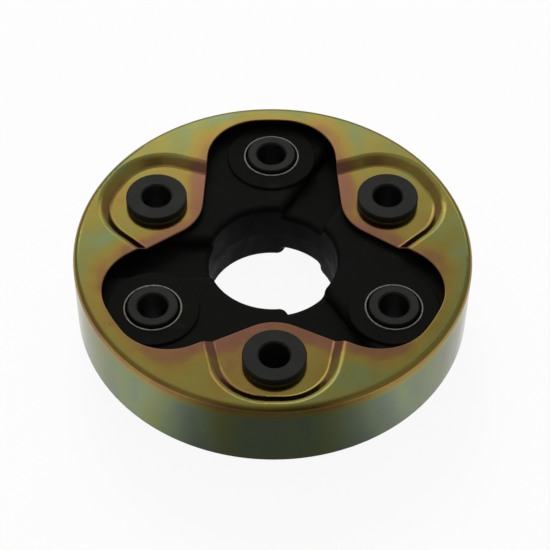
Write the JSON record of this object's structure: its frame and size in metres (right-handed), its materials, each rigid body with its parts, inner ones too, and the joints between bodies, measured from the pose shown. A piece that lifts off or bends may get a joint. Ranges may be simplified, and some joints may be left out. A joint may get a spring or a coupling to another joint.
{
  "type": "flexible disc coupling",
  "caption": "Flat rubber coupling disc with steel bolt sleeves, held in a shallow pressed steel cover whose cut-out has rounded lobes.",
  "frame": {"origin": "on the coupling's axis, at the middle of its height and of the rubber disc", "axes": "+Z along the axis, out through the covered face; +Y through the middle of one lobe of the cover's cut-out"},
  "size_m": [0.1608, 0.1608, 0.0426],
  "materials": {
    "zinc_plated_cover": "yellow zinc plate, glossy",
    "phosphated_sleeves": "dark phosphate, matt",
    "bright_rings": "bare steel",
    "moulded_rubber": "moulded, satin",
    "polyester_cord": "wound cord"
  },
  "bodies": {
    "root": {"lower_cord_loop_1": "polyester_cord", "lower_cord_loop_2": "polyester_cord", "lower_cord_loop_3": "polyester_cord", "lower_guide_ring_1": "bright_rings", "lower_guide_ring_2": "bright_rings", "lower_guide_ring_3": "bright_rings", "lower_guide_ring_4": "bright_rings", "lower_guide_ring_5": "bright_rings", "lower_guide_ring_6": "bright_rings", "lower_sleeve_1": "phosphated_sleeves", "lower_sleeve_2": "phosphated_sleeves", "lower_sleeve_3": "phosphated_sleeves", "rubber_disc": "moulded_rubber", "steel_cover": "zinc_plated_cover", "thick_cord_loop_1": "polyester_cord", "thick_cord_loop_2": "polyester_cord", "thick_cord_loop_3": "polyester_cord", "upper_cord_loop_1": "polyester_cord", "upper_cord_loop_2": "polyester_cord", "upper_cord_loop_3": "polyester_cord", "upper_guide_ring_1": "bright_rings", "upper_guide_ring_2": "bright_rings", "upper_guide_ring_3": "bright_rings", "upper_sleeve_1": "phosphated_sleeves", "upper_sleeve_2": "phosphated_sleeves", "upper_sleeve_3": "phosphated_sleeves"}
  },
  "joints": []
}
